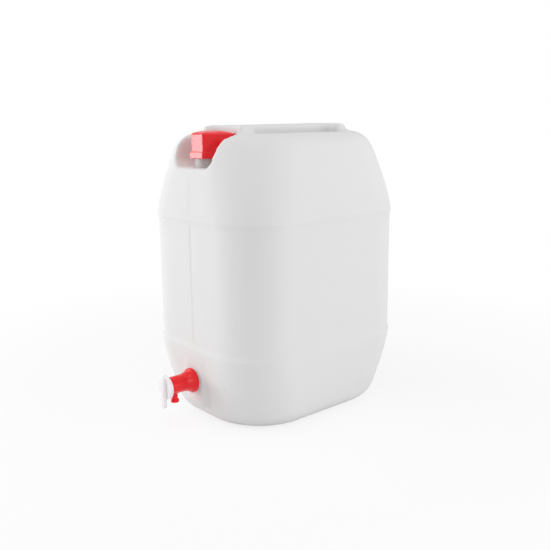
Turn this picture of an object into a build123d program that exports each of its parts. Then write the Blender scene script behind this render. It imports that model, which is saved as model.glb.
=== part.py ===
from build123d import *
import math
import os

# ---------------------------------------------------------------------------
# Carboy with spigot: a blow-moulded tank of about twenty litres with a
# moulded-in carrying grip, a screw cap in a front pocket and a plug tap low
# on the front wall. Millimetres, +Z up, the tap and the neck towards -Y.
# The tank is drawn about its own centre line and the finished pieces are
# moved at the end, so that the origin is the bottom centre of the whole part.
# ---------------------------------------------------------------------------

# Tank body
PANEL_WIDTH = 237.4          # across the wide faces, between foot and shoulder
PANEL_LENGTH = 290.0         # along the carrying direction
PANEL_CORNER = 65.3
WALL = 2.2                   # blown wall
LEDGE_PROUD = 2.0            # how far foot and shoulder stand out from the panel
SHOULDER_START = 270.0
SHOULDER_HEIGHT = 108.0      # up to the crest of the two side ridges
LEAN_POWER = 1.45            # how quickly foot and shoulder lean in towards their ends

# Foot: the tapered lower part
FOOT_HEIGHT = 100.0
FOOT_INSET_X = 15.6
FOOT_INSET_Y = 14.6
FOOT_FLAT = 44.8             # straight length left on the narrow side at the bottom
FOOT_ROUND = 15.7

# Shoulder: the tapered upper part
SHOULDER_INSET_X = 26.0
SHOULDER_INSET_Y = 13.0
SHOULDER_FLAT = 9.4          # straight length left on the narrow side at the top
SHOULDER_ROUND = 20.0

# Neck and the pocket around it
NECK_SETBACK = 33.0          # from the front of the panel to the neck's axis
NECK_RADIUS = 17.5
NECK_WALL = 2.6
NECK_HEIGHT = 38.5           # from the pocket's floor to the lip
COLLAR_RADIUS = 19.0
COLLAR_HEIGHT = 3.0
POCKET_DEPTH = 42.0          # below the crest
POCKET_HALF_WIDTH = 38.0
POCKET_DRAFT = 8.0
POCKET_BEVEL = 8.0           # between its floor and its wall

# Hand well, sunk in the shoulder, and the grip that bridges it
WELL_DEPTH = 42.0            # below the crest
WELL_LENGTH = 145.0
WELL_SETBACK = 46.0          # from the neck's axis to the front of the well
WELL_HALF_WIDTH = 60.0
WELL_CORNER = 24.0
WELL_DRAFT = 6.0
WELL_BEVEL = 6.0             # at its floor and at its rim
GRIP_RISE = 10.0             # above the crest
GRIP_HALF_WIDTH = 19.0
GRIP_THICKNESS = 26.0
GRIP_BEVEL = 3.6
ROOT_HALF_WIDTH = 42.0
ROOT_LENGTH = 20.0           # behind the well, and in front of it before the cap's sweep
ROOT_CORNER = 5.0
NOTCH_CORNER = 14.0          # where the grip runs into its roots
SWEEP_CLEARANCE = 3.5        # around the turning lug of the cap
HAND_HOLE_END = 12.0         # from the end of the well to the end of the hole
HAND_HOLE_ROUND = 11.0

# Stacking recess under the base
RECESS_DEPTH = 11.0
RECESS_CLEAR = 3.0
RECESS_CORNER = 10.0
RECESS_BEVEL = 3.0

# Pad on the front of the foot that carries the tap
PAD_HALF_WIDTH = 22.0
PAD_BOTTOM = 21.0
PAD_CORNER = 6.0
TAP_HEIGHT = 57.0

# Sleeve moulded behind the pad, which takes the tap's shank
SLEEVE_WALL = 4.2
SLEEVE_LENGTH = 14.0
PORT_CLEARANCE = 0.3

# Cap
CAP_SKIRT = 26.5             # below the neck's lip
CAP_WEB = 2.7                # top plate over the liner
CAP_RADIUS = 21.5
CAP_EDGE = 1.5
CAP_BEVEL = 1.2
CAP_CLEARANCE = 0.4
BAND_PROUD = 2.5
BAND_HEIGHT = 8.0
LUG_ANGLE = 36.6             # from +X, seen from above
LUG_REACH = 35.0
LUG_TIP_WIDTH = 14.0
LUG_START = 17.0
LUG_KNEE = 31.0
LUG_KNEE_DEPTH = 9.0         # of the lug, below the cap's top, at its knee and tip
LUG_TIP_DEPTH = 5.0
LINER_THICKNESS = 1.8

# Tap: reaches are measured from the pad's face along the tap's axis
GASKET_THICKNESS = 2.0
GASKET_RADIUS = 15.5
GASKET_CLEARANCE = 0.2
SHANK_RADIUS = 9.5
SHANK_LENGTH = 16.0
PASSAGE_RADIUS = 5.5
FLANGE_RADIUS = 16.5
FLANGE_THICKNESS = 4.0
BELL_LENGTH = 11.0           # from the flange to the plain barrel
BELL_POWER = 2.4             # how quickly it narrows
BARREL_RADIUS = 11.6
BARREL_REACH = 41.0
RIM_PROUD = 0.6
RIM_WIDTH = 1.5
SPOUT_SETBACK = 10.5         # from the barrel's rim to the spout's axis
SPOUT_RADIUS = 4.05
SPOUT_DROP = 23.0            # from the tap's axis to the end of the spout
SPOUT_LIP_PROUD = 1.55
SPOUT_LIP_HEIGHT = 3.0
OUTLET_RADIUS = 2.8
PORT_RELIEF = 1.0            # hollow in the barrel's wall around the outlet
PLUG_RADIUS = 7.9
PLUG_CLEARANCE = 0.1
PLUG_WALL = 3.1
PLUG_SEAT = 4.0
PLUG_END_GAP = 0.3
BEAD_SETBACK = 4.0           # from the barrel's rim to the snap bead
BEAD_PROUD = 0.5
BEAD_WIDTH = 1.6
DISC_GAP = 0.4               # between the barrel's rim and the disc
DISC_THICKNESS = 4.0
DISC_RADIUS = 15.6
LEVER_WIDTH = 8.6
LEVER_THICKNESS = 4.4
LEVER_UP = 16.0              # lever above and below the tap's axis
LEVER_DOWN = 28.0

OVERRUN = 30.0               # how far cutters run past what they cut
ROUND_STEPS = 3              # ruled strips in an outside rounding, one fewer inside
LEAN_STEPS = 5               # ruled strips in the leaning part of foot and shoulder

# Heights and places that follow from the sizes above
crest = SHOULDER_START + SHOULDER_HEIGHT
pocket_floor = crest - POCKET_DEPTH
well_floor = crest - WELL_DEPTH
grip_top = crest + GRIP_RISE
neck_y = NECK_SETBACK - PANEL_LENGTH / 2
neck_top = pocket_floor + NECK_HEIGHT
well_front = neck_y + WELL_SETBACK
well_back = well_front + WELL_LENGTH
well_middle = (well_front + well_back) / 2
sweep_radius = LUG_REACH + SWEEP_CLEARANCE
root_front = neck_y + ROOT_LENGTH
root_back = well_back + ROOT_LENGTH
pad_y = -PANEL_LENGTH / 2 - LEDGE_PROUD
port_radius = SHANK_RADIUS + PORT_CLEARANCE
cap_bottom = neck_top - CAP_SKIRT
cap_top = neck_top + LINER_THICKNESS + CAP_WEB
spout_reach = BARREL_REACH - SPOUT_SETBACK
bead_reach = BARREL_REACH - BEAD_SETBACK
disc_start = BARREL_REACH + DISC_GAP
disc_end = disc_start + DISC_THICKNESS


def arc_steps(radius, steps):
    """Insets and heights of a rounded edge, from its flat end to its upright side."""
    turns = [math.pi / 2 * step / steps for step in range(steps + 1)]
    return [(radius * (1 - math.sin(turn)), radius * (1 - math.cos(turn))) for turn in turns]


def leaning_levels(skin, height, inset_x, inset_y, flat, end_round):
    """Levels (height from the end, growth in x and in y, corner) from the end to the ledge."""
    end_width = PANEL_WIDTH + 2 * (LEDGE_PROUD - inset_x)
    end_corner = (end_width - flat) / 2
    side_corner = PANEL_CORNER + LEDGE_PROUD
    rounded = arc_steps(end_round - skin, ROUND_STEPS if skin == 0 else ROUND_STEPS - 1)
    leaning = [(0, end_round - skin + (height - end_round) * step / LEAN_STEPS)
               for step in range(1, LEAN_STEPS + 1)]
    levels = []
    for inset, rise in rounded + leaning:
        share = 1 - rise / (height - skin)
        lean = share ** LEAN_POWER
        grow = LEDGE_PROUD - skin - inset
        levels.append((skin + rise, grow - inset_x * lean, grow - inset_y * lean,
                       side_corner + (end_corner - side_corner) * share - skin - inset))
    return levels


def body(skin):
    """Foot, panel and shoulder in one ruled loft, set in by skin."""
    foot = leaning_levels(skin, FOOT_HEIGHT, FOOT_INSET_X, FOOT_INSET_Y, FOOT_FLAT, FOOT_ROUND)
    shoulder = leaning_levels(skin, SHOULDER_HEIGHT, SHOULDER_INSET_X, SHOULDER_INSET_Y,
                              SHOULDER_FLAT, SHOULDER_ROUND)
    shoulder = [(crest - fall, grow_x, grow_y, corner)
                for fall, grow_x, grow_y, corner in reversed(shoulder)]
    panel = [(foot[-1][0] + LEDGE_PROUD, -skin, -skin, PANEL_CORNER - skin),
             (shoulder[0][0] - LEDGE_PROUD, -skin, -skin, PANEL_CORNER - skin)]
    return loft([Pos(0, 0, z) * RectangleRounded(PANEL_WIDTH + 2 * grow_x,
                                                 PANEL_LENGTH + 2 * grow_y, corner)
                 for z, grow_x, grow_y, corner in foot + panel + shoulder], ruled=True)


def bottom_edges(shape):
    """Edges around the lowest face."""
    return shape.faces().sort_by(Axis.Z)[0].edges()


def top_edges(shape):
    """Edges around the highest face."""
    return shape.faces().sort_by(Axis.Z)[-1].edges()


def pocket(skin):
    """Open-fronted pocket around the neck, widening upwards."""
    half = POCKET_HALF_WIDTH + skin
    plan = Circle(half) + Pos(0, -PANEL_LENGTH / 4, 0) * Rectangle(2 * half, PANEL_LENGTH / 2)
    cutter = extrude(Pos(0, neck_y, pocket_floor - skin) * plan, POCKET_DEPTH + OVERRUN,
                     taper=-POCKET_DRAFT)
    return chamfer(bottom_edges(cutter), POCKET_BEVEL)


def well(skin):
    """Hand well that widens upwards, bevelled at its floor and at its rim."""
    width, length = 2 * (WELL_HALF_WIDTH + skin), WELL_LENGTH + 2 * skin
    plan = RectangleRounded(width, length, WELL_CORNER + skin)
    pit = extrude(Pos(0, 0, well_floor - skin) * plan, WELL_DEPTH + OVERRUN, taper=-WELL_DRAFT)
    pit = chamfer(bottom_edges(pit), WELL_BEVEL)
    lean = 2 * (WELL_DEPTH - WELL_BEVEL) * math.tan(math.radians(WELL_DRAFT))
    rim = RectangleRounded(width + lean, length + lean, WELL_CORNER + skin + lean / 2)
    rim = extrude(Pos(0, 0, crest - WELL_BEVEL - skin) * rim, OVERRUN, taper=-45)
    return Pos(0, well_middle, 0) * (pit + rim)


def handle(skin):
    """Grip and its two roots: a block with a notch on each side for the fingers."""
    length = root_back - root_front
    oblong = Pos(0, (root_front + root_back) / 2, 0) * Rectangle(2 * ROOT_HALF_WIDTH, length)
    notch = RectangleRounded(2 * ROOT_HALF_WIDTH, WELL_LENGTH, NOTCH_CORNER)
    plan = oblong - Pos(0, neck_y, 0) * Circle(sweep_radius)
    for side in (-1, 1):
        plan -= Pos(side * (GRIP_HALF_WIDTH + ROOT_HALF_WIDTH), well_middle, 0) * notch
    outer = [vertex for vertex in plan.vertices() if abs(vertex.X) > ROOT_HALF_WIDTH - ROOT_CORNER]
    plan = fillet(outer, ROOT_CORNER)
    if skin:
        plan = offset(plan, -skin)
    depth = grip_top - well_floor + WALL
    block = extrude(Pos(0, 0, grip_top - skin - depth) * plan, depth)
    return chamfer(top_edges(block), GRIP_BEVEL) if skin == 0 else block


def hand_hole(skin):
    """Hole under the grip, through the wells on either side."""
    height = grip_top - GRIP_THICKNESS - well_floor + 2 * skin
    length = WELL_LENGTH + 2 * skin - 2 * HAND_HOLE_END
    hole = Box(2 * ROOT_HALF_WIDTH, length, height)
    hole = fillet(hole.edges().filter_by(Axis.X), HAND_HOLE_ROUND + skin)
    return Pos(0, well_middle, well_floor - skin + height / 2) * hole


def pad(skin):
    """Upright flat on the leaning front of the foot."""
    half = PAD_HALF_WIDTH - skin
    height = FOOT_HEIGHT - skin - PAD_BOTTOM - skin
    depth = FOOT_INSET_Y + FOOT_ROUND
    block = Pos(0, pad_y + skin + depth / 2, PAD_BOTTOM + skin + height / 2) * Box(
        2 * half, depth, height)
    front = block.edges().group_by(Axis.Y)[0]
    upright = block.edges().filter_by(Axis.Z).group_by(Axis.Y)[0]
    lower = front.filter_by(Axis.X).sort_by(Axis.Z)[0:1]
    return fillet(upright + lower, PAD_CORNER - skin)


def recess(skin):
    """Hollow in the base that takes the grip and roots of a carboy below."""
    grow = RECESS_CLEAR + skin
    plan = RectangleRounded(2 * (ROOT_HALF_WIDTH + grow), root_back - root_front + 2 * grow,
                            RECESS_CORNER + grow)
    block = extrude(Pos(0, 0, -OVERRUN) * plan, OVERRUN + RECESS_DEPTH + skin)
    block = chamfer(top_edges(block), RECESS_BEVEL)
    return Pos(0, (root_front + root_back) / 2, 0) * block


def envelope(skin):
    """The blown shape, set in by skin: 0 for the outside, WALL for the inside."""
    shape = body(skin) + pad(skin) - pocket(skin) - well(skin)
    return shape + handle(skin) - hand_hole(skin) - recess(skin)


def tank():
    """The blown shell with its neck and its tap sleeve."""
    shell = envelope(0) - envelope(WALL)
    neck = Pos(0, neck_y, pocket_floor + NECK_HEIGHT / 2) * Cylinder(NECK_RADIUS, NECK_HEIGHT)
    neck = chamfer(top_edges(neck), NECK_WALL / 3)
    collar = Pos(0, neck_y, pocket_floor + COLLAR_HEIGHT / 2) * Cylinder(
        COLLAR_RADIUS, COLLAR_HEIGHT)
    collar = chamfer(top_edges(collar), COLLAR_RADIUS - NECK_RADIUS)
    bore = Pos(0, neck_y, pocket_floor) * Cylinder(
        NECK_RADIUS - NECK_WALL, 2 * NECK_HEIGHT + WALL)
    sleeve = Rot(90, 0, 0) * Cylinder(port_radius + SLEEVE_WALL, SLEEVE_LENGTH)
    sleeve = Pos(0, pad_y + SLEEVE_LENGTH / 2, TAP_HEIGHT) * sleeve
    port = Pos(0, pad_y, TAP_HEIGHT) * Rot(90, 0, 0) * Cylinder(port_radius, 3 * SLEEVE_LENGTH)
    return shell + neck + collar + sleeve - bore - port


def hexagon(radius):
    """Hexagon about the neck axis, its first flat facing +X before it is turned."""
    return Rot(0, 0, 30) * RegularPolygon(radius, 6)


def lug_plan():
    """Lug that narrows from one flat of the hexagon to its blunt tip."""
    flat = CAP_RADIUS * math.cos(math.pi / 6)
    root = CAP_RADIUS / 2
    tip = LUG_TIP_WIDTH / 2
    return make_face(Polyline((0, -root), (flat, -root), (LUG_REACH, -tip), (LUG_REACH, tip),
                              (flat, root), (0, root), close=True))


def lug_undercut():
    """What is cut from below the lug: a steep slope, then an easier one."""
    low = cap_bottom - OVERRUN
    far = LUG_REACH + OVERRUN
    side = make_face(Polyline((LUG_START, low), (LUG_START, cap_bottom),
                              (LUG_KNEE, cap_top - LUG_KNEE_DEPTH), (far, cap_top - LUG_TIP_DEPTH),
                              (far, low), close=True))
    drum = extrude(Pos(0, 0, low) * hexagon(CAP_RADIUS), cap_top - low)
    return extrude(Plane.XZ * side, CAP_RADIUS, both=True) - drum


def cap():
    """Six-sided screw cap with a lower band and one lug."""
    plan = hexagon(CAP_RADIUS) + lug_plan()
    plan = fillet(plan.vertices(), CAP_EDGE)
    drum = extrude(Pos(0, 0, cap_bottom) * plan, cap_top - cap_bottom)
    drum = chamfer(top_edges(drum), CAP_BEVEL) - lug_undercut()
    band = hexagon(CAP_RADIUS + BAND_PROUD)
    band = extrude(Pos(0, 0, cap_bottom) * fillet(band.vertices(), CAP_EDGE), BAND_HEIGHT)
    hollow = CAP_SKIRT + LINER_THICKNESS
    bore = Pos(0, 0, cap_bottom + hollow / 2) * Cylinder(NECK_RADIUS + CAP_CLEARANCE, hollow)
    return Pos(0, neck_y, 0) * Rot(0, 0, LUG_ANGLE) * (drum + band - bore)


def cap_liner():
    """Soft disc between the cap and the lip of the neck."""
    return Pos(0, neck_y, neck_top + LINER_THICKNESS / 2) * Cylinder(NECK_RADIUS, LINER_THICKNESS)


def tap_ring(radius, start, end):
    """Plain disc on the tap's axis between two reaches from the pad."""
    return Pos(0, 0, (start + end) / 2) * Cylinder(radius, end - start)


def spout():
    """Down-turned outlet with a flared lip."""
    lip_radius = SPOUT_RADIUS + SPOUT_LIP_PROUD
    lip = SPOUT_LIP_HEIGHT - SPOUT_DROP
    side = Polyline((0, 0), (SPOUT_RADIUS, 0), (SPOUT_RADIUS, lip + SPOUT_LIP_PROUD),
                    (lip_radius, lip), (lip_radius, -SPOUT_DROP), (0, -SPOUT_DROP), (0, 0))
    return Pos(0, 0, spout_reach) * revolve(make_face(side), Axis.Y)


def radial_hole(radius, length, turn):
    """Hole from the tap's axis outwards at the spout; no turn points down."""
    drill = Pos(0, -length / 2, 0) * Rot(90, 0, 0) * Cylinder(radius, length)
    return Pos(0, 0, spout_reach) * Rot(0, 0, turn) * drill


def tap_body():
    """Threaded shank, flange, bell and barrel with the spout, in one moulding."""
    back = [(0, -SHANK_LENGTH), (SHANK_RADIUS, -SHANK_LENGTH), (SHANK_RADIUS, GASKET_THICKNESS),
            (FLANGE_RADIUS, GASKET_THICKNESS)]
    bell = [(BARREL_RADIUS + (FLANGE_RADIUS - BARREL_RADIUS) * (1 - share) ** BELL_POWER,
             GASKET_THICKNESS + FLANGE_THICKNESS + BELL_LENGTH * share)
            for share in (0, 0.3, 1)]
    rim_radius = BARREL_RADIUS + RIM_PROUD
    front = [(BARREL_RADIUS, BARREL_REACH - RIM_WIDTH), (rim_radius, BARREL_REACH - RIM_WIDTH),
             (rim_radius, BARREL_REACH), (0, BARREL_REACH)]
    side = make_face(Polyline(*back, *bell, *front, close=True))
    solid = revolve(Plane.XZ * side, Axis.Z) + spout()
    groove = PLUG_RADIUS + BEAD_PROUD + PLUG_CLEARANCE
    solid -= tap_ring(PLUG_RADIUS + PLUG_CLEARANCE, PLUG_SEAT, BARREL_REACH)
    solid -= tap_ring(groove, bead_reach - BEAD_WIDTH, bead_reach + BEAD_WIDTH)
    solid -= tap_ring(PASSAGE_RADIUS, -SHANK_LENGTH, PLUG_SEAT)
    relief = PLUG_RADIUS + PLUG_CLEARANCE + PORT_RELIEF
    solid -= radial_hole(OUTLET_RADIUS + PORT_RELIEF, relief, 0)
    return solid - radial_hole(OUTLET_RADIUS, SPOUT_DROP, 0)


def tap_gasket():
    """Flat washer between the pad and the tap's flange."""
    ring = tap_ring(GASKET_RADIUS, 0, GASKET_THICKNESS)
    return ring - tap_ring(SHANK_RADIUS + GASKET_CLEARANCE, 0, GASKET_THICKNESS)


def tap_plug():
    """Hollow plug with its port to one side, and the disc and lever that turn it."""
    bore = PLUG_RADIUS - PLUG_WALL
    plug = tap_ring(PLUG_RADIUS, PLUG_SEAT + PLUG_END_GAP, disc_start)
    bead = tap_ring(PLUG_RADIUS + BEAD_PROUD, bead_reach - BEAD_WIDTH / 2,
                    bead_reach + BEAD_WIDTH / 2)
    disc = chamfer(top_edges(tap_ring(DISC_RADIUS, disc_start, disc_end)), DISC_THICKNESS / 4)
    plan = Rot(0, 0, 90) * SlotOverall(LEVER_UP + LEVER_DOWN, LEVER_WIDTH)
    lever = extrude(Pos(0, (LEVER_UP - LEVER_DOWN) / 2, disc_end) * plan, LEVER_THICKNESS)
    lever = chamfer(top_edges(lever), LEVER_THICKNESS / 4)
    hollow = tap_ring(bore, PLUG_SEAT, spout_reach + bore)
    port = radial_hole(OUTLET_RADIUS, PLUG_RADIUS + BEAD_PROUD, 90)
    return plug + bead + disc + lever - hollow - port


def placed_pieces():
    """Every piece by name, with the origin at the bottom centre of the whole part."""
    centre = Pos(0, (disc_end + LEVER_THICKNESS) / 2, 0)
    on_tap_axis = centre * Pos(0, pad_y, TAP_HEIGHT) * Rot(90, 0, 0)
    return {
        "tank": centre * tank(),
        "cap": centre * cap(),
        "cap_liner": centre * cap_liner(),
        "tap_body": on_tap_axis * tap_body(),
        "tap_gasket": on_tap_axis * tap_gasket(),
        "tap_plug": on_tap_axis * tap_plug(),
    }


os.makedirs("parts", exist_ok=True)
for node, piece in placed_pieces().items():
    export_step(piece, f"parts/{node}.step")
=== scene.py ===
"""Dressed model of a carboy with spigot: a blown tank, a screw cap and a plug tap.

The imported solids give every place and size. This script gives them their finishes,
the soft edges of blown and moulded plastic, the neck's thread and the mould seams.
"""
import logging
import math
from dataclasses import dataclass, field
from enum import Enum

import bmesh
import bpy
import numpy as np
from mathutils import Matrix, Vector
from mathutils.bvhtree import BVHTree


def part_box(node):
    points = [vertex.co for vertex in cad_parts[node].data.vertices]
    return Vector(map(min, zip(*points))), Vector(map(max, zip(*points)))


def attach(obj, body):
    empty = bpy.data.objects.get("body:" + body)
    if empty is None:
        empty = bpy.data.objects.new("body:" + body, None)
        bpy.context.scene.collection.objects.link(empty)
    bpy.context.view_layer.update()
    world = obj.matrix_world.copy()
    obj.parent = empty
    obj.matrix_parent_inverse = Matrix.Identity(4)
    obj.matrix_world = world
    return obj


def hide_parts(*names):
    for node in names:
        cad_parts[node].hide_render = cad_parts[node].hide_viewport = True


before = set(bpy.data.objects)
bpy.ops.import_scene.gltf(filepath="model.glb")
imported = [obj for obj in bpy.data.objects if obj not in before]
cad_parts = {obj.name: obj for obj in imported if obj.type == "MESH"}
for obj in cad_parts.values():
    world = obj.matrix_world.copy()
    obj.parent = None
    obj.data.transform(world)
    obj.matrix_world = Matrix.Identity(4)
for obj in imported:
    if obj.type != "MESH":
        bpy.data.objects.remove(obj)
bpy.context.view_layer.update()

MM = 0.001
WELD = 0.002 * MM            # reach within which packed corners are one
LEVEL = 0.01 * MM            # how far a flat face's corners may lie from its height

log = logging.getLogger("carboy")


class Slot(Enum):
    """Material slots of the record, named for each piece but not used by the script."""

    TANK = "natural_polyethylene"
    RED = "red_plastic"
    KNOB = "white_plastic"
    LINER = "liner_foam"
    SEAL = "seal_rubber"


class Body(Enum):
    """Moving bodies that the pieces ride on."""

    TANK = "tank"
    SEAL = "cap_seal"
    CAP = "cap"
    VALVE = "tap_valve"


# --------------------------------------------------------------------------- finishes


class NodeSheet:
    """A material's node tree with short ways to add and join nodes."""

    noise_range = (0.3, 0.7)
    ramp_ends = (0.32, 0.68)

    def __init__(self, name: str) -> None:
        """Starts an empty node material.

        Args:
            name: The material's name.
        """
        self.material = bpy.data.materials.new(name)
        self.material.use_nodes = True
        self.tree = self.material.node_tree
        self.tree.nodes.clear()
        self.output = self.add("ShaderNodeOutputMaterial")

    def add(self, kind: str, **settings: object) -> bpy.types.Node:
        """Adds a node and sets its inputs or properties by name.

        Args:
            kind: Blender's class name of the node.
            **settings: Inputs by name, with _ for spaces, or the node's own properties.

        Returns:
            The new node.
        """
        node = self.tree.nodes.new(kind)
        for key, value in settings.items():
            label = key.replace("_", " ")
            if label in node.inputs:
                node.inputs[label].default_value = value
            else:
                setattr(node, key, value)
        return node

    def join(self, start: bpy.types.NodeSocket, end: bpy.types.NodeSocket) -> None:
        """Links one socket to another."""
        self.tree.links.new(start, end)

    def noise(self, scale: tuple[float, float, float], detail: float,
              rough: float = 0.5) -> bpy.types.NodeSocket:
        """Noise on the object's own coordinates, in features per metre on each axis.

        Args:
            scale: Features per metre along x, y and z.
            detail: Number of finer octaves.
            rough: How strong the finer octaves are.

        Returns:
            The noise value's socket.
        """
        place = self.add("ShaderNodeTexCoord")
        mapping = self.add("ShaderNodeMapping")
        mapping.inputs["Scale"].default_value = scale
        texture = self.add("ShaderNodeTexNoise", Scale=1.0, Detail=detail, Roughness=rough)
        self.join(place.outputs["Object"], mapping.inputs["Vector"])
        self.join(mapping.outputs["Vector"], texture.inputs["Vector"])
        return texture.outputs["Fac"]

    def spread(self, value: bpy.types.NodeSocket, low: float, high: float) -> bpy.types.NodeSocket:
        """Maps a noise value to a range.

        Args:
            value: Socket that runs from about 0.3 to 0.7.
            low: Result at the low end.
            high: Result at the high end.

        Returns:
            The mapped value's socket.
        """
        node = self.add("ShaderNodeMapRange")
        for name, number in zip(("From Min", "From Max", "To Min", "To Max"),
                                (*self.noise_range, low, high)):
            node.inputs[name].default_value = number
        self.join(value, node.inputs["Value"])
        return node.outputs["Result"]

    def blend(self, value: bpy.types.NodeSocket, first: tuple[float, float, float],
              second: tuple[float, float, float]) -> bpy.types.NodeSocket:
        """Colour that runs from one to another with a noise value.

        Args:
            value: Socket that runs from about 0.3 to 0.7.
            first: Colour at the low end.
            second: Colour at the high end.

        Returns:
            The colour's socket.
        """
        ramp = self.add("ShaderNodeValToRGB")
        ends = ramp.color_ramp.elements
        ends[0].position, ends[1].position = self.ramp_ends
        ends[0].color, ends[1].color = (*first, 1), (*second, 1)
        self.join(value, ramp.inputs["Fac"])
        return ramp.outputs["Color"]

    def bumps(self, layers: list[tuple[bpy.types.NodeSocket, float]]) -> bpy.types.NodeSocket:
        """Stacks bump layers.

        Args:
            layers: Height sockets, each with the height of its relief in metres.

        Returns:
            The normal's socket.
        """
        normal = None
        for height, depth in layers:
            bump = self.add("ShaderNodeBump", Strength=1.0, Distance=depth)
            self.join(height, bump.inputs["Height"])
            if normal is not None:
                self.join(normal, bump.inputs["Normal"])
            normal = bump.outputs["Normal"]
        return normal


@dataclass(frozen=True)
class Plastic:
    """A moulded plastic: two close colours, a gloss range and a fine skin."""

    name: str
    colour: tuple[float, float, float]
    second: tuple[float, float, float]
    gloss: tuple[float, float]
    mottle: tuple[float, float, float] = (18.0, 18.0, 9.0)
    wear: tuple[float, float, float] = (90.0, 90.0, 60.0)
    skin_scale: float = 1400.0
    skin_depth: float = 4e-6
    wave_scale: tuple[float, float, float] = (40.0, 40.0, 40.0)
    wave_depth: float = 3e-5
    glow: float = 0.0
    glow_depth: tuple[float, float, float] = (0.004, 0.004, 0.004)
    coat: float = 0.0
    coat_gloss: float = 0.06
    refraction: float = 1.5

    def build(self) -> bpy.types.Material:
        """Makes the node material.

        Returns:
            The material.
        """
        sheet = NodeSheet(self.name)
        shader = sheet.add("ShaderNodeBsdfPrincipled")
        sheet.join(shader.outputs["BSDF"], sheet.output.inputs["Surface"])
        shader.inputs["IOR"].default_value = self.refraction
        shader.inputs["Subsurface Weight"].default_value = self.glow
        shader.inputs["Subsurface Radius"].default_value = self.glow_depth
        shader.inputs["Subsurface Scale"].default_value = 1.0
        shader.inputs["Coat Weight"].default_value = self.coat
        shader.inputs["Coat Roughness"].default_value = self.coat_gloss
        mottle = sheet.noise(self.mottle, 3.0, 0.55)
        sheet.join(sheet.blend(mottle, self.colour, self.second), shader.inputs["Base Color"])
        wear = sheet.noise(self.wear, 4.0, 0.6)
        sheet.join(sheet.spread(wear, *self.gloss), shader.inputs["Roughness"])
        skin = sheet.noise((self.skin_scale,) * 3, 2.0)
        wave = sheet.noise(self.wave_scale, 1.0)
        relief = sheet.bumps([(wave, self.wave_depth), (skin, self.skin_depth)])
        sheet.join(relief, shader.inputs["Normal"])
        return sheet.material


@dataclass(frozen=True)
class Foam:
    """Fine closed-cell foam of the cap's liner."""

    name: str
    colour: tuple[float, float, float]
    second: tuple[float, float, float]
    gloss: tuple[float, float] = (0.62, 0.8)
    mottle: tuple[float, float, float] = (200.0, 200.0, 200.0)
    cell_scale: float = 1800.0
    cell_depth: float = 4e-5

    def build(self) -> bpy.types.Material:
        """Makes the node material.

        Returns:
            The material.
        """
        sheet = NodeSheet(self.name)
        shader = sheet.add("ShaderNodeBsdfPrincipled")
        sheet.join(shader.outputs["BSDF"], sheet.output.inputs["Surface"])
        place = sheet.add("ShaderNodeTexCoord")
        cells = sheet.add("ShaderNodeTexVoronoi", Scale=self.cell_scale)
        sheet.join(place.outputs["Object"], cells.inputs["Vector"])
        mottle = sheet.noise(self.mottle, 3.0)
        sheet.join(sheet.blend(mottle, self.colour, self.second), shader.inputs["Base Color"])
        sheet.join(sheet.spread(mottle, *self.gloss), shader.inputs["Roughness"])
        relief = sheet.bumps([(cells.outputs["Distance"], self.cell_depth)])
        sheet.join(relief, shader.inputs["Normal"])
        return sheet.material


NATURAL_TANK = Plastic(
    name="natural_polyethylene", colour=(0.775, 0.785, 0.80), second=(0.825, 0.832, 0.84),
    gloss=(0.16, 0.24), mottle=(9.0, 9.0, 5.0), skin_scale=900.0, skin_depth=6e-6,
    wave_scale=(22.0, 22.0, 7.0), wave_depth=1.5e-4, glow=0.9,
    glow_depth=(0.026, 0.026, 0.028), refraction=1.54)
GLOSSY_RED = Plastic(
    name="glossy_red", colour=(0.86, 0.004, 0.010), second=(0.91, 0.008, 0.016),
    gloss=(0.10, 0.18), mottle=(60.0, 60.0, 40.0), glow=0.10, glow_depth=(0.005, 0.001, 0.001),
    wave_depth=1e-5, coat=0.1, refraction=1.38)
# Milky white with a faint pink tint painted into its colour: a painted reflection of the red tap body
# beside it.
MILKY_KNOB = Plastic(
    name="milky_white", colour=(0.88, 0.84, 0.86), second=(0.93, 0.89, 0.91),
    gloss=(0.20, 0.30), mottle=(70.0, 70.0, 50.0), glow=0.6,
    glow_depth=(0.006, 0.004, 0.004), wave_depth=1e-5)
PALE_SEAL = Plastic(
    name="pale_seal", colour=(0.62, 0.61, 0.60), second=(0.70, 0.69, 0.67),
    gloss=(0.5, 0.65), mottle=(90.0, 90.0, 90.0), skin_depth=1e-5)
LINER_FOAM = Foam(name="liner_foam", colour=(0.80, 0.80, 0.78), second=(0.88, 0.88, 0.86))


# --------------------------------------------------------------------------- mesh helpers


def piece_from_node(node: str, name: str, crease: float) -> bpy.types.Object:
    """Welded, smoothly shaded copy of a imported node.

    Args:
        node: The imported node's name.
        name: The new piece's name.
        crease: Angle in degrees above which an edge stays sharp.

    Returns:
        The new object, at the origin.
    """
    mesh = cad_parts[node].data.copy()
    mesh.name = name
    shape = bmesh.new()
    shape.from_mesh(mesh)
    bmesh.ops.remove_doubles(shape, verts=shape.verts, dist=WELD)
    bmesh.ops.dissolve_degenerate(shape, edges=shape.edges, dist=WELD)
    shape.to_mesh(mesh)
    shape.free()
    mesh.materials.clear()
    smooth(mesh, crease)
    piece = bpy.data.objects.new(name, mesh)
    bpy.context.scene.collection.objects.link(piece)
    return piece


def piece_from_shape(shape: bmesh.types.BMesh, name: str) -> bpy.types.Object:
    """Turns a shape into a piece and frees it.

    Args:
        shape: The shape.
        name: The new piece's name.

    Returns:
        The new object, at the origin.
    """
    mesh = bpy.data.meshes.new(name)
    shape.to_mesh(mesh)
    shape.free()
    piece = bpy.data.objects.new(name, mesh)
    bpy.context.scene.collection.objects.link(piece)
    return piece


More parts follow.
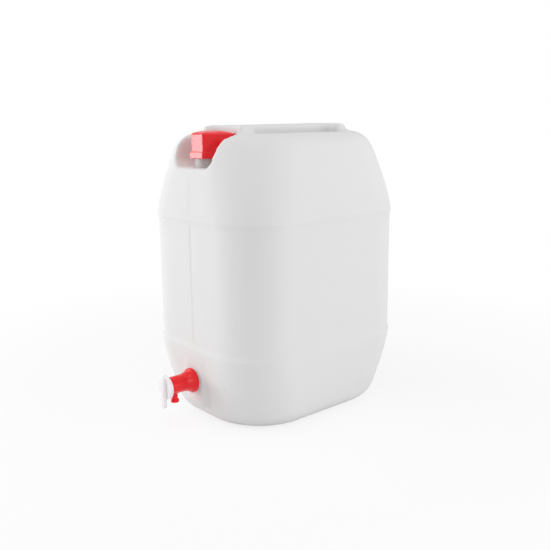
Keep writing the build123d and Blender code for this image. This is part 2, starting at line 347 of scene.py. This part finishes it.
def join_meshes(piece: bpy.types.Object, extra: bpy.types.Object) -> None:
    """Adds one piece's mesh to another's.

    Args:
        piece: The piece that stays.
        extra: The piece whose mesh is taken, which is removed.
    """
    shape = bmesh.new()
    shape.from_mesh(piece.data)
    shape.from_mesh(extra.data)
    shape.to_mesh(piece.data)
    shape.free()
    bpy.data.objects.remove(extra)


def lathe(name: str, profile: list[tuple[float, float]], axis: Vector,
          sides: int) -> bpy.types.Object:
    """Turns a closed profile about an upright axis.

    Args:
        name: The new piece's name.
        profile: Radius and height of each point, anticlockwise with the radius to the right.
        axis: A point on the axis; only its x and y count.
        sides: Faces around it.

    Returns:
        The new object, at the origin.
    """
    shape = bmesh.new()
    rings = []
    for side in range(sides):
        turn = 2 * math.pi * side / sides
        rings.append([shape.verts.new((axis.x + radius * math.cos(turn),
                                       axis.y + radius * math.sin(turn), height))
                      for radius, height in profile])
    for near, far in zip(rings, rings[1:] + rings[:1]):
        for low in range(len(profile)):
            high = (low + 1) % len(profile)
            shape.faces.new((near[low], far[low], far[high], near[high]))
    bmesh.ops.recalc_face_normals(shape, faces=shape.faces)
    piece = piece_from_shape(shape, name)
    smooth(piece.data, 50.0)
    return piece


def drum(name: str, centre: Vector, radius: float, length: float, axis: str) -> bpy.types.Object:
    """Plain cylinder that cuts a bore.

    Args:
        name: Its name.
        centre: Its middle.
        radius: Its radius.
        length: Its length.
        axis: The axis that it lies along, Y or Z.

    Returns:
        The new object, at the origin.
    """
    shape = bmesh.new()
    turn = Matrix.Rotation(math.pi / 2, 4, "X") if axis == "Y" else Matrix()
    bmesh.ops.create_cone(shape, cap_ends=True, segments=96, radius1=radius, radius2=radius,
                          depth=length, matrix=Matrix.Translation(centre) @ turn)
    return piece_from_shape(shape, name)


def smooth(mesh: bpy.types.Mesh, crease: float) -> None:
    """Shades a mesh smooth but for its edges over an angle.

    Args:
        mesh: The mesh.
        crease: Angle in degrees above which an edge stays sharp.
    """
    mesh.shade_smooth()
    mesh.set_sharp_from_angle(angle=math.radians(crease))


def weigh_normals(piece: bpy.types.Object) -> None:
    """Keeps flats flat where they run into rounded edges."""
    modifier = piece.modifiers.new("weighted", "WEIGHTED_NORMAL")
    modifier.keep_sharp = True
    modifier.weight = 50


def soften_edges(piece: bpy.types.Object, width: float, limit: float, segments: int = 3) -> None:
    """Rounds the edges over an angle.

    Args:
        piece: The piece.
        width: Width of the rounding in metres.
        limit: Angle in degrees above which an edge is rounded.
        segments: Faces across the rounding.
    """
    modifier = piece.modifiers.new("softened", "BEVEL")
    modifier.width = width
    modifier.segments = segments
    modifier.limit_method = "ANGLE"
    modifier.angle_limit = math.radians(limit)
    modifier.miter_outer = "MITER_ARC"


def settle(piece: bpy.types.Object) -> None:
    """Applies a piece's modifiers to its mesh.

    Args:
        piece: The piece, whose modifiers are removed.
    """
    evaluated = piece.evaluated_get(bpy.context.evaluated_depsgraph_get())
    mesh = bpy.data.meshes.new_from_object(evaluated)
    mesh.name = piece.name
    piece.modifiers.clear()
    old = piece.data
    piece.data = mesh
    bpy.data.meshes.remove(old)


def dress(piece: bpy.types.Object, finish: bpy.types.Material, body: Body, slot: Slot,
          *nodes: str) -> None:
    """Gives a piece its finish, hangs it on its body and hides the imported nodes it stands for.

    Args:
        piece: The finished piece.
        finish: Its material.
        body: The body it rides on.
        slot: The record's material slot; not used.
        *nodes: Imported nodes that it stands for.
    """
    if not piece.data.materials:
        piece.data.materials.append(finish)
    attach(piece, body.value)
    if nodes:
        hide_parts(*nodes)
    log.info("%s: %d faces on %s", piece.name, len(piece.data.polygons), body.value)


class PathTube:
    """Geometry Nodes tree that sweeps a small round bead along a path."""

    def __init__(self, name: str, finish: bpy.types.Material) -> None:
        """Builds the tree.

        Args:
            name: The tree's name.
            finish: Material of the bead.
        """
        self.tree = bpy.data.node_groups.new(name, "GeometryNodeTree")
        face = self.tree.interface
        face.new_socket("Geometry", in_out="INPUT", socket_type="NodeSocketGeometry")
        face.new_socket("Geometry", in_out="OUTPUT", socket_type="NodeSocketGeometry")
        radius = face.new_socket("Bead Radius", in_out="INPUT", socket_type="NodeSocketFloat")
        sides = face.new_socket("Bead Sides", in_out="INPUT", socket_type="NodeSocketInt")
        self.radius_id, self.sides_id = radius.identifier, sides.identifier
        nodes, links = self.tree.nodes, self.tree.links
        start = nodes.new("NodeGroupInput")
        end = nodes.new("NodeGroupOutput")
        profile = nodes.new("GeometryNodeCurvePrimitiveCircle")
        sweep = nodes.new("GeometryNodeCurveToMesh")
        sweep.inputs["Fill Caps"].default_value = True
        shade = nodes.new("GeometryNodeSetShadeSmooth")
        real = nodes.new("GeometryNodeRealizeInstances")
        paint = nodes.new("GeometryNodeSetMaterial")
        paint.inputs["Material"].default_value = finish
        links.new(start.outputs["Bead Radius"], profile.inputs["Radius"])
        links.new(start.outputs["Bead Sides"], profile.inputs["Resolution"])
        links.new(start.outputs["Geometry"], sweep.inputs["Curve"])
        links.new(profile.outputs["Curve"], sweep.inputs["Profile Curve"])
        links.new(sweep.outputs["Mesh"], shade.inputs["Geometry"])
        links.new(shade.outputs["Geometry"], real.inputs["Geometry"])
        links.new(real.outputs["Geometry"], paint.inputs["Geometry"])
        links.new(paint.outputs["Geometry"], end.inputs["Geometry"])

    def sweep(self, name: str, paths: list[list[Vector]], radius: float,
              sides: int) -> bpy.types.Object:
        """Sweeps the bead along some paths.

        Args:
            name: The new piece's name.
            paths: Points of each path, in metres.
            radius: Radius of the bead.
            sides: Faces around it.

        Returns:
            The new object, a plain mesh at the origin.
        """
        curve = bpy.data.curves.new(name, "CURVE")
        curve.dimensions = "3D"
        for points in paths:
            spline = curve.splines.new("POLY")
            spline.points.add(len(points) - 1)
            for point, place in zip(spline.points, points):
                point.co = (*place, 1)
        guide = bpy.data.objects.new(name + "_path", curve)
        bpy.context.scene.collection.objects.link(guide)
        modifier = guide.modifiers.new("sweep", "NODES")
        modifier.node_group = self.tree
        modifier[self.radius_id] = radius
        modifier[self.sides_id] = sides
        evaluated = guide.evaluated_get(bpy.context.evaluated_depsgraph_get())
        mesh = bpy.data.meshes.new_from_object(evaluated)
        mesh.name = name
        bpy.data.objects.remove(guide)
        piece = bpy.data.objects.new(name, mesh)
        bpy.context.scene.collection.objects.link(piece)
        return piece


# --------------------------------------------------------------------------- sub-assemblies


@dataclass
class Tank:
    """Blown tank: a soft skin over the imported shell, its neck, thread and mould seams."""

    voxel: float = 2.7 * MM
    rounding_passes: int = 14
    rounding_weights: tuple[float, float] = (0.5, -0.32)
    crease: float = 40.0
    ledge_share: float = 0.12
    ledge_margin: float = 7 * MM
    ledges: tuple[float, float] = (101 * MM, 269 * MM)
    seam_radius: float = 0.5 * MM
    seam_proud: float = 0.05 * MM
    seam_step: float = 3.0 * MM
    front_seams: tuple[tuple[float, float], ...] = ((110 * MM, 262 * MM), (280 * MM, 328 * MM))
    back_seams: tuple[tuple[float, float], ...] = (
        (16 * MM, 92 * MM), (110 * MM, 262 * MM), (280 * MM, 362 * MM))
    neck_wall: float = 2.6 * MM
    neck_height: float = 38.5 * MM
    collar_proud: float = 1.5 * MM
    collar_height: float = 3.0 * MM
    root_depth: float = 2.0 * MM
    neck_edge: float = 0.8 * MM
    lip_bow: float = 0.25 * MM
    bore_edge: float = 0.5 * MM
    neck_sides: int = 96
    neck_cut: float = 12 * MM
    port_radius: float = 9.8 * MM
    port_depth: float = 15 * MM
    port_cut: float = 33 * MM
    part_margin: float = 0.1 * MM
    part_depth: float = 5 * MM
    thread_pitch: float = 6.0 * MM
    thread_turns: float = 1.7
    thread_radius: float = 1.0 * MM
    thread_proud: float = 0.34 * MM
    thread_start: float = 3 * MM
    thread_steps: int = 72
    finish: Plastic = field(default=NATURAL_TANK)

    def __post_init__(self) -> None:
        """Reads the places of the neck and of the tap from the frame."""
        low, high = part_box("cap_liner")
        self.neck = Vector(((low.x + high.x) / 2, (low.y + high.y) / 2, low.z))
        self.neck_radius = (high.x - low.x) / 2
        self.pocket_floor = self.neck.z - self.neck_height
        low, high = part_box("tap_gasket")
        self.tap = (low + high) / 2
        self.pad_y = high.y

    def build(self) -> None:
        """Builds and dresses every piece of the tank."""
        material = self.finish.build()
        shell = self.shell()
        dress(shell, material, Body.TANK, Slot.TANK, "tank")
        dress(self.neck_tube(), material, Body.TANK, Slot.TANK)
        bead = PathTube("bead_on_a_path", material)
        seams = bead.sweep("tank_seams", self.seam_paths(shell), self.seam_radius, 10)
        dress(seams, material, Body.TANK, Slot.TANK)
        thread = bead.sweep("neck_thread", [self.thread_path()], self.thread_radius, 14)
        dress(thread, material, Body.TANK, Slot.TANK)

    def from_neck(self, place: Vector) -> float:
        """Distance of a place from the neck's axis."""
        return math.hypot(place.x - self.neck.x, place.y - self.neck.y)

    def from_tap(self, place: Vector) -> float:
        """Distance of a place from the tap's axis."""
        return math.hypot(place.x - self.tap.x, place.z - self.tap.z)

    def skins(self) -> tuple[bmesh.types.BMesh, bmesh.types.BMesh]:
        """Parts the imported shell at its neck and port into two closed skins.

        Returns:
            The outer skin and the inner one.
        """
        shape = bmesh.new()
        shape.from_mesh(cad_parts["tank"].data)
        bmesh.ops.remove_doubles(shape, verts=shape.verts, dist=WELD)
        reach = self.neck_radius + self.collar_proud + self.part_margin
        bottom = self.pocket_floor - self.part_depth
        neck = [face for face in shape.faces
                if all(self.from_neck(vert.co) < reach and vert.co.z > bottom
                       for vert in face.verts)]
        reach = self.port_radius + self.part_margin / 2
        port = [face for face in shape.faces
                if all(self.from_tap(vert.co) < reach
                       and vert.co.y < self.pad_y + self.port_depth for vert in face.verts)]
        bmesh.ops.delete(shape, geom=list(set(neck + port)), context="FACES")
        rims = [edge for edge in shape.edges if edge.is_boundary]
        bmesh.ops.holes_fill(shape, edges=rims, sides=0)
        start = min(shape.verts, key=lambda vert: vert.co.z)
        outside, front = {start}, [start]
        while front:
            vert = front.pop()
            for edge in vert.link_edges:
                other = edge.other_vert(vert)
                if other not in outside:
                    outside.add(other)
                    front.append(other)
        index = {vert.index for vert in outside}
        inner = shape.copy()
        inner.verts.ensure_lookup_table()
        bmesh.ops.delete(inner, geom=[v for v in inner.verts if v.index in index], context="VERTS")
        bmesh.ops.delete(shape, geom=[v for v in shape.verts if v not in outside], context="VERTS")
        return shape, inner

    def shell(self) -> bpy.types.Object:
        """Soft outer skin, the inner skin, and the bores that join them.

        Returns:
            The shell's piece.
        """
        outer, inner = self.skins()
        skin = piece_from_shape(outer, "tank_shell")
        remesh = skin.modifiers.new("even_grid", "REMESH")
        remesh.mode = "VOXEL"
        remesh.voxel_size = self.voxel
        settle(skin)
        self.soften(skin.data)
        hollow = piece_from_shape(inner, "tank_inside")
        join_meshes(skin, hollow)
        neck_bore = drum("neck_bore", self.neck - Vector((0, 0, self.neck_height)),
                         self.neck_radius - self.neck_wall, self.neck_cut, "Z")
        port_bore = drum("port_bore", Vector((self.tap.x, self.pad_y, self.tap.z)),
                         self.port_radius, self.port_cut, "Y")
        for bore in (neck_bore, port_bore):
            cut = skin.modifiers.new("bore", "BOOLEAN")
            cut.operation = "DIFFERENCE"
            cut.solver = "MANIFOLD"
            cut.object = bore
            settle(skin)
            bpy.data.objects.remove(bore)
        smooth(skin.data, self.crease)
        return skin

    def soften(self, mesh: bpy.types.Mesh) -> None:
        """Rounds the skin's edges, but for its two ledges.

        Args:
            mesh: The evenly gridded skin.
        """
        count = len(mesh.vertices)
        flat = np.empty(3 * count)
        mesh.vertices.foreach_get("co", flat)
        places = flat.reshape(-1, 3)
        ends = np.empty(2 * len(mesh.edges), dtype=np.int64)
        mesh.edges.foreach_get("vertices", ends)
        first, second = ends.reshape(-1, 2).T
        degree = np.bincount(np.concatenate((first, second)), minlength=count)[:, None]
        near = np.min([np.abs(places[:, 2] - height) for height in self.ledges], axis=0)
        share = np.where(near < self.ledge_margin, self.ledge_share, 1.0)[:, None]
        for _ in range(self.rounding_passes):
            for weight in self.rounding_weights:
                total = np.zeros_like(places)
                np.add.at(total, first, places[second])
                np.add.at(total, second, places[first])
                places += weight * share * (total / degree - places)
        places = np.clip(places, *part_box("tank"))
        mesh.vertices.foreach_set("co", places.ravel())
        mesh.update()

    def neck_tube(self) -> bpy.types.Object:
        """Neck with its collar and rounded lip.

        Returns:
            The neck's piece.
        """
        radius, bore = self.neck_radius, self.neck_radius - self.neck_wall
        collar, edge, bow, inner = radius + self.collar_proud, self.neck_edge, self.lip_bow, self.bore_edge
        floor, top = self.pocket_floor, self.neck.z
        root, shelf = floor - self.root_depth, floor + self.collar_height
        profile = [
            (bore, root), (collar + edge, root), (collar + edge, floor),
            (collar + edge / 4, floor + edge / 2), (collar, floor + 1.5 * edge), (collar, shelf - edge),
            (collar - 0.375 * edge, shelf - edge / 4), (radius + edge / 4, shelf + edge / 4),
            (radius, shelf + edge), (radius, top - edge), (radius - bow, top - bow),
            (radius - edge, top), (bore + inner, top), (bore + 0.3 * inner, top - 0.3 * inner),
            (bore, top - inner)]
        return lathe("neck_tube", profile, self.neck, self.neck_sides)

    def seam_paths(self, shell: bpy.types.Object) -> list[list[Vector]]:
        """Runs of the mould seam down the middle of the front and the back.

        Args:
            shell: The tank's piece, on whose skin the seams lie.

        Returns:
            The points of each run.
        """
        skin = BVHTree.FromObject(shell, bpy.context.evaluated_depsgraph_get())
        low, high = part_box("tank")
        paths = []
        for runs, start_y, way in ((self.front_seams, low.y - 1, 1.0),
                                   (self.back_seams, high.y + 1, -1.0)):
            for bottom, top in runs:
                count = round((top - bottom) / self.seam_step)
                points = []
                for step in range(count + 1):
                    height = bottom + (top - bottom) * step / count
                    origin = Vector((0, start_y, height))
                    hit, normal, _, _ = skin.ray_cast(origin, Vector((0, way, 0)))
                    points.append(hit + normal * (self.seam_proud - self.seam_radius))
                paths.append(points)
        return paths

    def thread_path(self) -> list[Vector]:
        """Helix of the neck's thread, below the lip.

        Returns:
            Its points.
        """
        radius = self.neck_radius + self.thread_proud - self.thread_radius
        points = []
        for step in range(int(self.thread_steps * self.thread_turns) + 1):
            turn = 2 * math.pi * step / self.thread_steps
            drop = self.thread_start + self.thread_pitch * turn / (2 * math.pi)
            points.append(self.neck + Vector((radius * math.cos(turn), radius * math.sin(turn),
                                              -drop)))
        return points


@dataclass
class ScrewCap:
    """Six-sided cap with its lug and domed crown, and the liner inside it."""

    crease: float = 28.0
    crown_height: float = 3.4 * MM
    crown_power: float = 2.2
    crown_rings: int = 9
    edge_width: float = 0.45 * MM
    liner_edge: float = 0.35 * MM
    liner_finish: Foam = field(default=LINER_FOAM)

    def build(self, red: bpy.types.Material) -> None:
        """Builds and dresses the cap and its liner.

        Args:
            red: Material of the cap.
        """
        cap = piece_from_node("cap", "screw_cap", self.crease)
        self.raise_crown(cap.data)
        soften_edges(cap, self.edge_width, self.crease)
        weigh_normals(cap)
        settle(cap)
        dress(cap, red, Body.CAP, Slot.RED, "cap")
        liner = piece_from_node("cap_liner", "liner_disc", self.crease)
        soften_edges(liner, self.liner_edge, self.crease)
        settle(liner)
        dress(liner, self.liner_finish.build(), Body.SEAL, Slot.LINER, "cap_liner")

    def raise_crown(self, mesh: bpy.types.Mesh) -> None:
        """Replaces the cap's flat top by a shallow dome over its whole outline.

        Args:
            mesh: The cap's mesh.
        """
        low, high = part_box("cap_liner")
        axis = (low + high) / 2
        shape = bmesh.new()
        shape.from_mesh(mesh)
        top = max(vert.co.z for vert in shape.verts)
        flat = [face for face in shape.faces
                if all(vert.co.z > top - LEVEL for vert in face.verts)]
        bmesh.ops.delete(shape, geom=flat, context="FACES")
        bmesh.ops.dissolve_limit(shape, angle_limit=math.radians(1.0), verts=shape.verts,
                                 edges=shape.edges)
        start = next(vert for vert in shape.verts
                     if vert.co.z > top - LEVEL and any(edge.is_boundary for edge in vert.link_edges))
        rim, last = [start], None
        while True:
            ahead = [edge.other_vert(rim[-1]) for edge in rim[-1].link_edges
                     if edge.is_boundary and edge.other_vert(rim[-1]) is not last]
            last = rim[-1]
            if ahead[0] is start:
                break
            rim.append(ahead[0])
        rings = [rim]
        for ring in range(1, self.crown_rings):
            share = 1 - ring / self.crown_rings
            height = top + self.crown_height * (1 - share ** self.crown_power)
            rings.append([shape.verts.new((axis.x + (vert.co.x - axis.x) * share,
                                           axis.y + (vert.co.y - axis.y) * share, height))
                          for vert in rim])
        peak = shape.verts.new((axis.x, axis.y, top + self.crown_height))
        for outer, inner in zip(rings, rings[1:]):
            for here in range(len(rim)):
                shape.faces.new((outer[here - 1], outer[here], inner[here], inner[here - 1]))
        for here in range(len(rim)):
            shape.faces.new((rings[-1][here - 1], rings[-1][here], peak))
        bmesh.ops.recalc_face_normals(shape, faces=shape.faces)
        shape.to_mesh(mesh)
        shape.free()
        smooth(mesh, self.crease)


@dataclass
class PlugTap:
    """Tap body, its seal, and the plug with its disc and lever."""

    crease: float = 24.0
    body_edge: float = 0.5 * MM
    knob_edge: float = 0.7 * MM
    plug_finish: Plastic = field(default=MILKY_KNOB)
    seal_finish: Plastic = field(default=PALE_SEAL)

    def build(self, red: bpy.types.Material) -> None:
        """Builds and dresses the tap.

        Args:
            red: Material of the tap's body.
        """
        body = piece_from_node("tap_body", "tap_barrel", self.crease)
        soften_edges(body, self.body_edge, self.crease)
        weigh_normals(body)
        settle(body)
        dress(body, red, Body.TANK, Slot.RED, "tap_body")
        plug = piece_from_node("tap_plug", "tap_handle", self.crease)
        soften_edges(plug, self.knob_edge, self.crease)
        weigh_normals(plug)
        settle(plug)
        dress(plug, self.plug_finish.build(), Body.VALVE, Slot.KNOB, "tap_plug")
        seal = piece_from_node("tap_gasket", "tap_seal", self.crease)
        dress(seal, self.seal_finish.build(), Body.TANK, Slot.SEAL, "tap_gasket")


# --------------------------------------------------------------------------- studio


def shown_rays(tree: bpy.types.NodeTree) -> bpy.types.NodeSocket:
    """Adds nodes that pick the rays which show the pale background.

    Args:
        tree: The node tree of a material or of the world.

    Returns:
        A socket that is 1 for the rays of the camera, of gloss and of clear pieces.
    """
    rays = tree.nodes.new("ShaderNodeLightPath")
    share = rays.outputs["Is Camera Ray"]
    for kind in ("Is Glossy Ray", "Is Transmission Ray"):
        most = tree.nodes.new("ShaderNodeMath")
        most.operation = "MAXIMUM"
        tree.links.new(share, most.inputs[0])
        tree.links.new(rays.outputs[kind], most.inputs[1])
        share = most.outputs[0]
    return share


@dataclass(frozen=True)
class Lamp:
    """Soft oblong lamp that faces the object."""

    name: str
    place: tuple[float, float, float]
    size: tuple[float, float]
    power: float
    aim: tuple[float, float, float] = (0.0, 0.02, 0.2)

    def hang(self) -> None:
        """Hangs the lamp at its place, turned to the object."""
        data = bpy.data.lights.new(self.name, "AREA")
        data.shape = "RECTANGLE"
        data.size, data.size_y = self.size
        data.energy = self.power
        light = bpy.data.objects.new(self.name, data)
        way = Vector(self.aim) - Vector(self.place)
        light.rotation_euler = way.to_track_quat("-Z", "Y").to_euler()
        light.location = self.place
        bpy.context.scene.collection.objects.link(light)


@dataclass
class Studio:
    """Pale floor, soft lamps and the camera."""

    eye: tuple[float, float, float] = (0.77774, -0.64004, 0.40321)
    right: tuple[float, float, float] = (0.6504, 0.7596, -0.0112)
    up: tuple[float, float, float] = (-0.1566, 0.1486, 0.9765)
    lens: float = 48.11
    floor_size: float = 14.0
    floor_colour: tuple[float, float, float] = (0.93, 0.93, 0.93)
    floor_shown: tuple[float, float] = (0.78, 1.0)
    floor_fade: tuple[float, float] = (0.35, 0.8)
    sky: float = 0.43
    lamps: tuple[Lamp, ...] = (
        Lamp("left_softbox", (-1.08, -1.20, 0.85), (2.2, 1.5), 15.5),
        Lamp("right_softbox", (1.42, 0.82, 0.75), (2.6, 1.2), 14.5),
        Lamp("top_softbox", (0.3, -0.3, 2.2), (1.6, 1.6), 9.5),
        Lamp("gloss_card", (-0.80, -0.99, 0.31), (0.22, 0.22), 1.5))

    def build(self) -> None:
        """Builds the floor, the lamps, the sky and the camera."""
        self.place_camera()
        self.lay_floor()
        for lamp in self.lamps:
            lamp.hang()
        self.set_sky()

    def place_camera(self) -> None:
        """Creates the camera at its viewing place."""
        data = bpy.data.cameras.new("camera")
        data.lens = self.lens
        camera = bpy.data.objects.new("camera", data)
        right, up = Vector(self.right).normalized(), Vector(self.up).normalized()
        back = right.cross(up)
        turn = Matrix((right, up, back)).transposed().to_4x4()
        camera.matrix_world = Matrix.Translation(self.eye) @ turn
        bpy.context.scene.collection.objects.link(camera)
        bpy.context.scene.camera = camera

    def lay_floor(self) -> None:
        """Lays the pale floor, which keeps the object's soft shadow."""
        half = self.floor_size / 2
        mesh = bpy.data.meshes.new("floor")
        mesh.from_pydata([(-half, -half, 0), (half, -half, 0), (half, half, 0), (-half, half, 0)],
                         [], [(0, 1, 2, 3)])
        floor = bpy.data.objects.new("floor", mesh)
        bpy.context.scene.collection.objects.link(floor)
        sheet = NodeSheet("pale_floor")
        diffuse = sheet.add("ShaderNodeBsdfDiffuse", Color=(*self.floor_colour, 1))
        glow = sheet.add("ShaderNodeEmission", Color=(1, 1, 1, 1), Strength=1.0)
        mix = sheet.add("ShaderNodeMixShader")
        share = sheet.add("ShaderNodeMath", operation="MULTIPLY")
        place = sheet.add("ShaderNodeTexCoord")
        reach = sheet.add("ShaderNodeVectorMath", operation="LENGTH")
        fade = sheet.add("ShaderNodeMapRange")
        for name, number in zip(("From Min", "From Max", "To Min", "To Max"),
                                (*self.floor_fade, *self.floor_shown)):
            fade.inputs[name].default_value = number
        sheet.join(place.outputs["Object"], reach.inputs[0])
        sheet.join(reach.outputs["Value"], fade.inputs["Value"])
        sheet.join(fade.outputs["Result"], share.inputs[1])
        sheet.join(shown_rays(sheet.material.node_tree), share.inputs[0])
        sheet.join(share.outputs[0], mix.inputs["Fac"])
        sheet.join(diffuse.outputs["BSDF"], mix.inputs[1])
        sheet.join(glow.outputs["Emission"], mix.inputs[2])
        sheet.join(mix.outputs["Shader"], sheet.output.inputs["Surface"])
        mesh.materials.append(sheet.material)

    def set_sky(self) -> None:
        """Sets a pale sky that shows white behind the object."""
        world = bpy.data.worlds.new("pale_sky")
        bpy.context.scene.world = world
        world.use_nodes = True
        tree = world.node_tree
        tree.nodes.clear()
        output = tree.nodes.new("ShaderNodeOutputWorld")
        sky = tree.nodes.new("ShaderNodeBackground")
        sky.inputs["Color"].default_value = (1, 1, 1, 1)
        strength = tree.nodes.new("ShaderNodeMapRange")
        strength.inputs["To Min"].default_value = self.sky
        strength.inputs["To Max"].default_value = 1.0
        tree.links.new(shown_rays(tree), strength.inputs["Value"])
        tree.links.new(strength.outputs["Result"], sky.inputs["Strength"])
        tree.links.new(sky.outputs["Background"], output.inputs["Surface"])


def main() -> None:
    """Builds the studio and every sub-assembly in order."""
    logging.basicConfig(level=logging.INFO, format="%(name)s %(message)s")
    bpy.context.scene.view_settings.view_transform = "Standard"
    Studio().build()
    Tank().build()
    red = GLOSSY_RED.build()
    ScrewCap().build(red)
    PlugTap().build(red)


if __name__ == "__main__":
    main()
